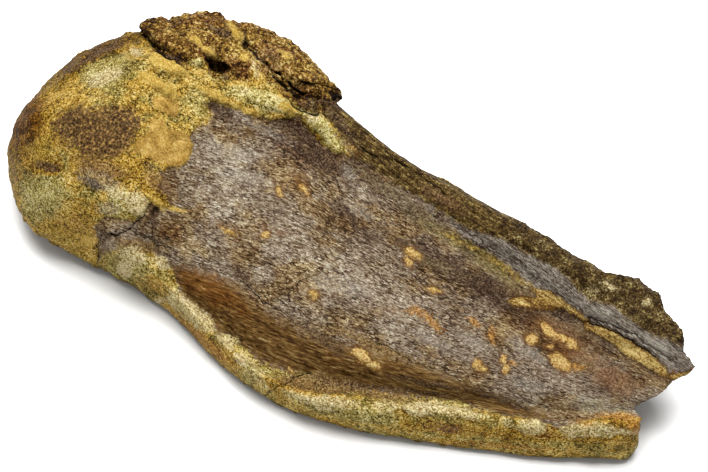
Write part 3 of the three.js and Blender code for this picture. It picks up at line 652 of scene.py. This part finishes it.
class Shader:
    """A material made by short calls: most add a node and return its output."""

    def __init__(self, name):
        self.material = bpy.data.materials.new(name)
        self.material.use_nodes = True
        self.tree = self.material.node_tree
        self.tree.nodes.clear()

    def add(self, kind, inputs, **settings):
        node = self.tree.nodes.new("ShaderNode" + kind)
        for key, value in settings.items():
            setattr(node, key, value)
        for key, value in inputs.items():
            socket = node.inputs[key]
            if isinstance(value, bpy.types.NodeSocket):
                self.tree.links.new(value, socket)
            else:
                socket.default_value = value
        return node

    def math(self, operation, a, b=0.0, c=0.0):
        return self.add("Math", {0: a, 1: b, 2: c}, operation=operation).outputs[0]

    def chained(self, operation, values):
        total = values[0]
        for value in values[1:]:
            total = self.math(operation, total, value)
        return total

    def plus(self, *values):
        return self.chained("ADD", values)

    def times(self, *values):
        return self.chained("MULTIPLY", values)

    def around(self, value, scale):
        """A value from 0 to 1 as one from -scale / 2 to scale / 2."""
        return self.math("MULTIPLY_ADD", value, scale, -scale / 2)

    def total(self, m, start, **shares):
        """The start plus shares of the values named in m."""
        terms = [(self.around if name in SWINGS else self.times)(m[name], share)
                 for name, share in shares.items()]
        return self.plus(start, *terms)

    def step(self, value, low, high, start=0.0, end=1.0):
        """Runs smoothly from start at low to end at high."""
        inputs = {"Value": value, "From Min": low, "From Max": high, "To Min": start, "To Max": end}
        return self.add("MapRange", inputs, interpolation_type="SMOOTHSTEP").outputs[0]

    def stored(self, name, output="Fac"):
        """What the mesh keeps under that name."""
        return self.add("Attribute", {}, attribute_name=name).outputs[output]

    def vectors(self, operation, *vectors):
        return self.add("VectorMath", dict(enumerate(vectors)), operation=operation).outputs["Vector"]

    def place(self):
        """The point on the bone, in mm."""
        return self.scaled(self.add("TexCoord", {}).outputs["Object"], (1 / MM,) * 3)

    def scaled(self, vector, factors):
        return self.vectors("MULTIPLY", vector, factors)

    def along(self, vector, factor):
        """The vector with its first axis scaled, which draws patterns out along the grain."""
        return self.scaled(vector, (factor, 1.0, 1.0))

    def texture(self, kind, output, vector, length, **inputs):
        """A texture whose features are of that length."""
        return self.add("Tex" + kind, {"Vector": vector, "Scale": 1 / length, **inputs}).outputs[output]

    def noise(self, vector, length, detail=2.0, roughness=0.5, output="Fac"):
        """Noise from 0 to 1, about 0.5, with lumps of that length."""
        return self.texture("Noise", output, vector, length, Detail=detail, Roughness=roughness)

    def cells(self, vector, length):
        """How far the middle of the nearest small cell is: 0 there, near 1 between cells."""
        return self.texture("Voronoi", "Distance", vector, length)

    def mosaic(self, vector, length):
        """An even spread of values from 0 to 1, one for each small grain."""
        colour = self.texture("Voronoi", "Color", vector, length)
        return self.add("SeparateColor", {"Color": colour}).outputs[0]

    def warped(self, vector, length, amount):
        """The vector shifted about by noise, so that what is drawn with it isn't straight."""
        colour = self.noise(vector, length, output="Color")
        shift = self.vectors("MULTIPLY_ADD", colour, (amount,) * 3, (-amount / 2,) * 3)
        return self.vectors("ADD", vector, shift)

    def lines(self, vector, length, width, detail=2.0):
        """1 on thin wandering lines, the contours of a noise, and 0 between them."""
        level = self.math("SUBTRACT", self.noise(vector, length, detail), 0.5)
        return self.step(self.math("ABSOLUTE", level), width, width * 0.3)

    def mix(self, share, a, b, blend="MIX"):
        """Colour a where the share is 0, turning into colour b where it is 1."""
        return self.add("Mix", {0: share, 6: a, 7: b}, data_type="RGBA", blend_type=blend).outputs[2]

    def speckled(self, colour, vector, length, amount):
        """The colour with small patches of other hues."""
        return self.mix(amount, colour, self.noise(vector, length, 3.0, 0.7, "Color"), "OVERLAY")

    def ramp(self, value, *stops, shade=BONE_SHADE):
        """Colours along a scale: each stop is a place from 0 to 1 and a colour's red, green and blue."""
        node = self.add("ValToRGB", {"Fac": value})
        elements = node.color_ramp.elements
        while len(elements) < len(stops):
            elements.new(1.0)
        for element, (place, *colour) in zip(elements, stops):
            element.position = place
            element.color = rgb(*colour, shade)
        return node.outputs["Color"]

    def finish(self, inputs):
        surface = self.add("BsdfPrincipled", inputs)
        self.add("OutputMaterial", {"Surface": surface.outputs[0]})
        return self.material


def cortex_colour(s, m):
    """The shaft's smooth skin: fine pale flakes and fibres on brown, greyer where it is worn. The pale flakes
    and flecks partly stand in for glints: painted highlights.
    """
    tone = s.total(m, 0.46, patch=0.4, blotch=0.35, mottle=0.35, fibre=0.95, flake=0.58, fleck=0.30,
                   pale=0.36, crackle=-0.45)
    brown = s.ramp(tone, (0.0, 42, 25, 10), (0.28, 88, 62, 34), (0.52, 136, 111, 76), (0.78, 178, 157, 118),
                   (1.0, 226, 210, 172))
    grey = s.ramp(tone, (0.0, 48, 33, 22), (0.28, 94, 75, 57), (0.52, 140, 122, 100), (0.78, 179, 166, 144),
                  (1.0, 222, 214, 194))
    base = s.mix(s.step(s.plus(m["stain"], s.times(m["warm"], -0.2)), 0.40, 0.58), brown, grey)
    golden = s.ramp(tone, (0.0, 46, 24, 8), (0.35, 104, 64, 28), (0.65, 160, 112, 54), (1.0, 214, 178, 110))
    greenish = s.ramp(tone, (0.0, 48, 37, 14), (0.4, 108, 90, 42), (0.75, 162, 146, 86), (1.0, 208, 196, 144))
    warm = s.total(m, -0.05, warm=1.0, stain=1.2, mottle=0.8)
    colour = s.mix(s.step(warm, 0.15, 0.85), base, golden)
    green = s.total(m, 0.0, olive=1.0, blotch=1.2, mottle=0.8)
    return s.mix(s.step(green, 0.2, 0.9, 0.0, 0.85), colour, greenish)


def slope_colour(s, m):
    """The front slope: long brown and golden streaks."""
    tone = s.total(m, 0.46, streak=1.3, patch=0.5, pale=0.3, thread=1.5, flake=0.24, crackle=-0.2)
    brown = s.ramp(tone, (0.0, 40, 24, 8), (0.30, 80, 54, 22), (0.55, 116, 86, 44), (0.80, 154, 124, 74),
                   (1.0, 200, 178, 132))
    russet = s.ramp(tone, (0.0, 46, 24, 6), (0.30, 88, 53, 18), (0.55, 122, 80, 34), (0.80, 152, 108, 54),
                    (1.0, 192, 158, 108))
    return s.mix(s.step(s.total(m, 0.0, warm=1.0, stain=1.0), 0.0, 0.5), brown, russet)


def crust_colour(s, m, warmth):
    """The crust of hardened sand: olive, golden and rusty grains with dark and pale specks."""
    # The crust and the lip darken where they face downwards: painted shade.
    tone = s.total(m, 0.54, grains=0.64, dots=-0.16, grit=1.3, mottle=0.9, blotch=0.8, patch=0.4, pale=0.34,
                   crackle=-0.35, pores=-0.26, under=-0.30)
    olive = s.ramp(tone, (0.0, 56, 42, 12), (0.28, 108, 88, 32), (0.52, 156, 136, 66), (0.78, 200, 183, 106),
                   (1.0, 236, 225, 168))
    golden = s.ramp(tone, (0.0, 64, 42, 8), (0.28, 112, 80, 18), (0.52, 166, 127, 42), (0.78, 211, 173, 76),
                    (1.0, 238, 214, 138))
    rusty = s.ramp(tone, (0.0, 44, 24, 4), (0.30, 92, 58, 14), (0.58, 138, 94, 30), (0.80, 180, 130, 50),
                   (1.0, 222, 188, 108))
    warm = s.total(m, warmth, warm=1.0, stain=2.0, blotch=1.4, mottle=0.8)
    return s.mix(s.step(warm, 0.6, 1.1), s.mix(s.step(warm, -0.2, 0.35), olive, golden), rusty)


def slab_colour(s, m):
    """The rough slabs at the back: rusty and golden grains, with painted shade, nearly black, in the hollows
    between their knobs.
    """
    tone = s.total(m, 0.82, grains=0.64, grit=1.6, mottle=1.3, knobs=-0.75, blotch=0.9, patch=0.5, pale=0.4)
    gold = s.ramp(tone, (0.0, 34, 20, 8), (0.28, 84, 57, 22), (0.52, 138, 103, 42), (0.78, 186, 150, 68),
                  (1.0, 226, 204, 130))
    rust = s.ramp(tone, (0.0, 30, 16, 8), (0.30, 80, 48, 20), (0.58, 130, 86, 38), (0.80, 172, 130, 64),
                  (1.0, 218, 190, 134))
    return s.mix(s.step(s.total(m, 0.0, warm=1.0, stain=3.0, mottle=1.5), -0.3, 0.5), gold, rust)


def ridge_colour(s, m):
    """The rough dark rim by the break."""
    tone = s.total(m, 0.44, grains=0.62, grit=1.4, mottle=1.2, blotch=1.0, patch=0.5, pale=0.5)
    return s.ramp(tone, (0.0, 32, 22, 10), (0.35, 68, 50, 26), (0.62, 102, 82, 46), (0.86, 148, 128, 76),
                  (1.0, 200, 186, 134))


def strip_colour(s, m):
    """The back strip: olive and golden streaks and specks."""
    tone = s.total(m, 0.37, streak=1.5, grit=1.1, mottle=1.2, grains=0.45, thread=1.2, pale=0.4)
    return s.ramp(tone, (0.0, 36, 24, 10), (0.30, 74, 55, 26), (0.56, 110, 88, 48), (0.80, 156, 132, 72),
                  (1.0, 204, 186, 126))


def band_colour(s, m):
    """The smooth grey band beside the break."""
    tone = s.total(m, 0.56, streak=1.2, mottle=0.8, fibre=2.0, veins=-0.42, flake=0.5, pale=0.4)
    return s.ramp(tone, (0.0, 44, 31, 24), (0.32, 90, 76, 64), (0.62, 136, 124, 110), (1.0, 194, 187, 172))


# How each kind of patch looks: its dark, middle and pale colours, how much its edge fades and
# how ragged it is, and how well it covers what is under it.
PATCH_LOOKS = {
    "tan": ((58, 38, 18), (112, 84, 46), (168, 140, 92), 1.2, 1.5, 0.9),
    "russet": ((72, 46, 28), (118, 85, 56), (158, 126, 94), 1.6, 2.0, 0.6),
    "dark": ((22, 13, 8), (64, 45, 31), (130, 106, 80), 0.8, 1.3, 0.72),
    "slate": ((92, 79, 67), (152, 141, 126), (204, 198, 182), 1.4, 1.6, 0.35),
    "film": ((66, 52, 30), (112, 97, 66), (156, 143, 108), 1.4, 1.8, 0.7),
    "gold": ((100, 74, 18), (160, 128, 44), (212, 182, 92), 0.9, 2.0, 0.75),
    "yellow": ((172, 136, 54), (199, 163, 74), (226, 197, 112), 0.6, 0.9, 0.92),
    "orange": ((104, 62, 16), (170, 112, 42), (214, 168, 88), 0.9, 1.8, 0.72),
    "cream": ((116, 88, 44), (204, 180, 120), (244, 233, 192), 0.9, 1.5, 0.8),
}

# The patches that are broken up into streaks along the grain.
STREAKY = ("gold", "film")


def bone_values(s):
    """The noises, marks and stored fields that the colours and the relief are made of."""
    place, grain = s.place(), s.stored("grain", "Vector")
    bent, wavy = s.warped(place, 1.2, 0.5), s.warped(grain, 4.0, 2.4)
    grains = s.mosaic(bent, 0.52)
    cracked = s.step(s.noise(place, 9.0), 0.42, 0.58)
    return {
        "bent": bent,
        "patch": s.noise(place, 24.0),
        "blotch": s.noise(place, 6.0, 3.0, 0.6),
        "mottle": s.noise(bent, 2.4, 3.0, 0.65),
        "stain": s.noise(s.scaled(place, (1.0, 1.2, 1.0)), 15.0, 4.0, 0.6),
        "grit": s.noise(place, 0.8, 3.0, 0.65),
        "grains": grains,
        # fleck and flake: pale specks and flakes; on the shaft they partly stand in for glints, as painted
        # highlights.
        "fleck": s.step(grains, 0.86, 0.90, 0.35, 1.0),
        "dots": s.step(grains, 0.18, 0.12),
        # knobs: darker between small knobs, painted shade in the hollows.
        "knobs": s.cells(bent, 1.9),
        # pores: small dark pits, painted shade.
        "pores": s.step(s.noise(bent, 1.1, 2.0, 0.6), 0.38, 0.30),
        "fibre": s.noise(s.along(wavy, 0.27), 0.42, 2.0, 0.6),
        "flake": s.mosaic(s.warped(s.along(grain, 0.28), 1.2, 0.4), 0.38),
        "streak": s.noise(s.along(grain, 0.05), 1.0, 4.0, 0.65),
        "thread": s.noise(s.along(grain, 0.08), 0.5, 2.0, 0.6),
        "crackle": s.times(s.lines(s.along(grain, 0.35), 2.6, 0.022, 4.0), cracked),
        "veins": s.lines(s.along(wavy, 0.14), 2.0, 0.035, 3.0),
        "edge": s.around(s.noise(place, 2.5, 4.0, 0.7), 5.0),
        "frill": s.around(s.noise(place, 1.4, 3.0, 0.7), 3.4),
        # Painted shade: darker where the surface faces downwards.
        "under": s.step(s.stored("up"), -0.1, -0.6),
        "pale": s.stored("pale"),
        "warm": s.stored("warm"),
        "olive": s.stored("olive"),
    }


def bone_material():
    s = Shader("bone_surface")
    m = bone_values(s)

    def inside(name, soft, ragged, cover=1.0, edge="edge"):
        """How much of a region shows: its cover where its field, made ragged, is above 0."""
        share = s.step(s.plus(s.stored(name), s.times(m[edge], ragged)), -soft, soft)
        return s.times(share, cover) if cover < 1.0 else share

    colour = cortex_colour(s, m)
    colour = s.mix(inside("slope", 3.0, 2.0), colour, slope_colour(s, m))
    colour = s.mix(inside("strip", 1.4, 1.6), colour, strip_colour(s, m))
    colour = s.mix(inside("band", 0.9, 1.2), colour, band_colour(s, m))
    colour = s.mix(inside("ridge", 1.0, 1.4), colour, ridge_colour(s, m))
    colour = s.mix(inside("lip", 0.8, 1.2), colour, crust_colour(s, m, s.around(m["streak"], 2.0)))
    speck = s.plus(s.times(m["grit"], 1.4), s.total(m, -0.2, grains=0.36, mottle=0.3))
    cream = s.ramp(speck, (0.24, 112, 88, 38), (0.44, 188, 165, 98), (0.68, 238, 226, 180))
    patchy = s.step(m["stain"], 0.38, 0.56, 0.35, 0.9)
    colour = s.mix(s.times(inside("lip_crest", 0.9, 1.0), patchy), colour, cream)
    colour = s.mix(inside("crust", 0.8, 1.2), colour, crust_colour(s, m, 0.20))
    ochre = s.ramp(s.total(m, m["blotch"], grit=0.7, grains=0.14), (0.26, 124, 88, 34), (0.5, 188, 149, 72),
                   (0.7, 218, 184, 108))
    colour = s.mix(inside("ochre", 0.5, 0.8, 0.88), colour, ochre)
    # The spongy patch's pores run to nearly black: painted shade in the pores.
    pore = s.total(m, s.cells(m["bent"], 1.1), grit=1.4, mottle=0.9)
    spongy = s.ramp(pore, (0.12, 20, 12, 8), (0.42, 74, 52, 36), (0.70, 116, 86, 52), (0.95, 182, 144, 80))
    colour = s.mix(inside("spongy", 2.4, 2.2, 0.9), colour, spongy)
    colour = s.mix(inside("slab", 0.5, 0.8), colour, slab_colour(s, m))

    for name, (dark, middle, pale, soft, ragged, cover) in PATCH_LOOKS.items():
        patch = s.ramp(speck, (0.26, *dark), (0.48, *middle), (0.72, *pale))
        share = inside(name, soft, ragged, cover, "frill")
        if name in STREAKY:
            share = s.times(share, s.step(m["thread"], 0.44, 0.56, 0.2, 1.0))
        colour = s.mix(share, colour, patch)

    # A dark brown band round the seam, partly painted shadow at the foot of its raised edge.
    rim = s.step(s.plus(s.stored("seam"), s.times(m["frill"], 0.8)), -1.4, 0.0, 0.0, 0.85)
    colour = s.mix(rim, colour, rgb(62, 38, 16))
    shade = s.plus(s.times(speck, 0.8), s.total(m, 0.06, streak=1.0, fibre=0.5, pale=0.40))
    gold = s.ramp(shade, (0.2, 84, 54, 20), (0.45, 156, 120, 54), (0.75, 222, 198, 128))
    colour = s.mix(inside("seam", 0.6, 1.0, 0.9, "frill"), colour, gold)
    halo = s.step(s.plus(s.stored("spot"), s.times(m["edge"], 1.2)), -1.8, 0.0, 0.0, 0.6)
    colour = s.mix(halo, colour, rgb(104, 68, 30))
    spot = s.ramp(s.plus(s.times(s.stored("spot"), 0.08), speck), (0.22, 108, 70, 22), (0.48, 184, 142, 70),
                  (0.80, 226, 200, 136))
    colour = s.mix(inside("spot", 0.4, 1.2, 0.92, "frill"), colour, spot)
    colour = s.speckled(colour, m["bent"], 0.9, 0.13)

    # Inside the cracks the colour runs to nearly black: painted shade in their depths.
    off_line = s.math("ABSOLUTE", s.plus(s.stored("crack_side"), s.times(m["frill"], 0.25)))
    width = s.times(s.stored("crack_width"), s.plus(0.1, s.times(m["blotch"], 1.3)))
    in_crack = s.step(s.math("DIVIDE", off_line, width), 1.5, 0.6)
    crack = s.times(in_crack, s.step(s.stored("crack_depth"), 0.05, 0.5))
    colour = s.mix(s.times(crack, 0.92), colour, rgb(22, 13, 7))

    rough_part = s.step(s.math("MAXIMUM", s.stored("crust"), s.stored("lip")), -0.5, 0.5, 0.45, 1.0)
    grainy = s.times(rough_part, rough_part, s.plus(s.times(m["grit"], 0.8), s.times(m["mottle"], 0.9)))
    relief = s.plus(grainy, s.times(m["fibre"], 0.2), s.times(m["grains"], 0.08), s.times(m["crackle"], -0.4),
                    s.times(crack, -0.8))
    bump = s.add("Bump", {"Height": relief, "Distance": BUMP_HEIGHT * MM, "Strength": BUMP_STRENGTH})
    return s.finish({
        "Base Color": colour,
        "Roughness": s.step(m["grit"], 0.3, 0.7, 0.65, 0.52),
        "Specular IOR Level": 0.03,
        "Normal": bump.outputs["Normal"],
    })


def floor_material():
    s = Shader("paper")
    tone = s.noise(s.place(), 400.0)
    paper = s.ramp(tone, (0.0, 243, 243, 242), (1.0, 248, 248, 247), shade=1)
    return s.finish({"Base Color": paper, "Roughness": 0.9, "Specular IOR Level": 0.1})


# ---- floor, light and camera
FLOOR_SIZE = 8.0
WORLD_LIGHT = 0.42
SOFTBOX_PLACE = (0.0, 0.14, 1.3)
SOFTBOX_TARGET = (0, 0, 0.02)
SOFTBOX_SIZE = 1.0
SOFTBOX_POWER = 37.8


def make_floor():
    bpy.ops.mesh.primitive_plane_add(size=FLOOR_SIZE, location=(0, 0, 0))
    floor = bpy.context.object
    floor.name = "floor"
    floor.data.materials.append(floor_material())


def toward(obj, target):
    obj.rotation_mode = "QUATERNION"
    obj.rotation_quaternion = (Vector(target) - obj.location).to_track_quat("-Z", "Y")


def make_light():
    """An even white world and a square softbox, placed in the photograph's right, away and up, in metres."""
    world = bpy.data.worlds.new("studio")
    world.use_nodes = True
    background = world.node_tree.nodes["Background"]
    background.inputs["Color"].default_value = (1, 1, 1, 1)
    background.inputs["Strength"].default_value = WORLD_LIGHT
    bpy.context.scene.world = world
    right, away, up = SOFTBOX_PLACE
    a = math.radians(AZIMUTH)
    data = bpy.data.lights.new("softbox", "AREA")
    data.size = SOFTBOX_SIZE
    data.energy = SOFTBOX_POWER
    light = bpy.data.objects.new("softbox", data)
    light.location = (right * math.cos(a) - away * math.sin(a), right * math.sin(a) + away * math.cos(a), up)
    toward(light, SOFTBOX_TARGET)
    bpy.context.scene.collection.objects.link(light)
    bpy.context.scene.view_settings.view_transform = "Standard"


def make_camera():
    data = bpy.data.cameras.new("camera")
    data.lens = LENS
    data.sensor_width = SENSOR
    camera = bpy.data.objects.new("camera", data)
    camera.location = Vector((CAMERA_TARGET + BACK * CAMERA_DISTANCE) * MM)
    toward(camera, CAMERA_TARGET * MM)
    data.clip_start, data.clip_end = 0.05, 20.0
    bpy.context.scene.collection.objects.link(camera)
    bpy.context.scene.camera = camera


make_camera()
make_light()
make_floor()
bone = make_bone()
bone.data.materials.append(bone_material())
bone.data.polygons.foreach_set("use_smooth", [True] * len(bone.data.polygons))
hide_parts("bone")
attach(bone, "root")
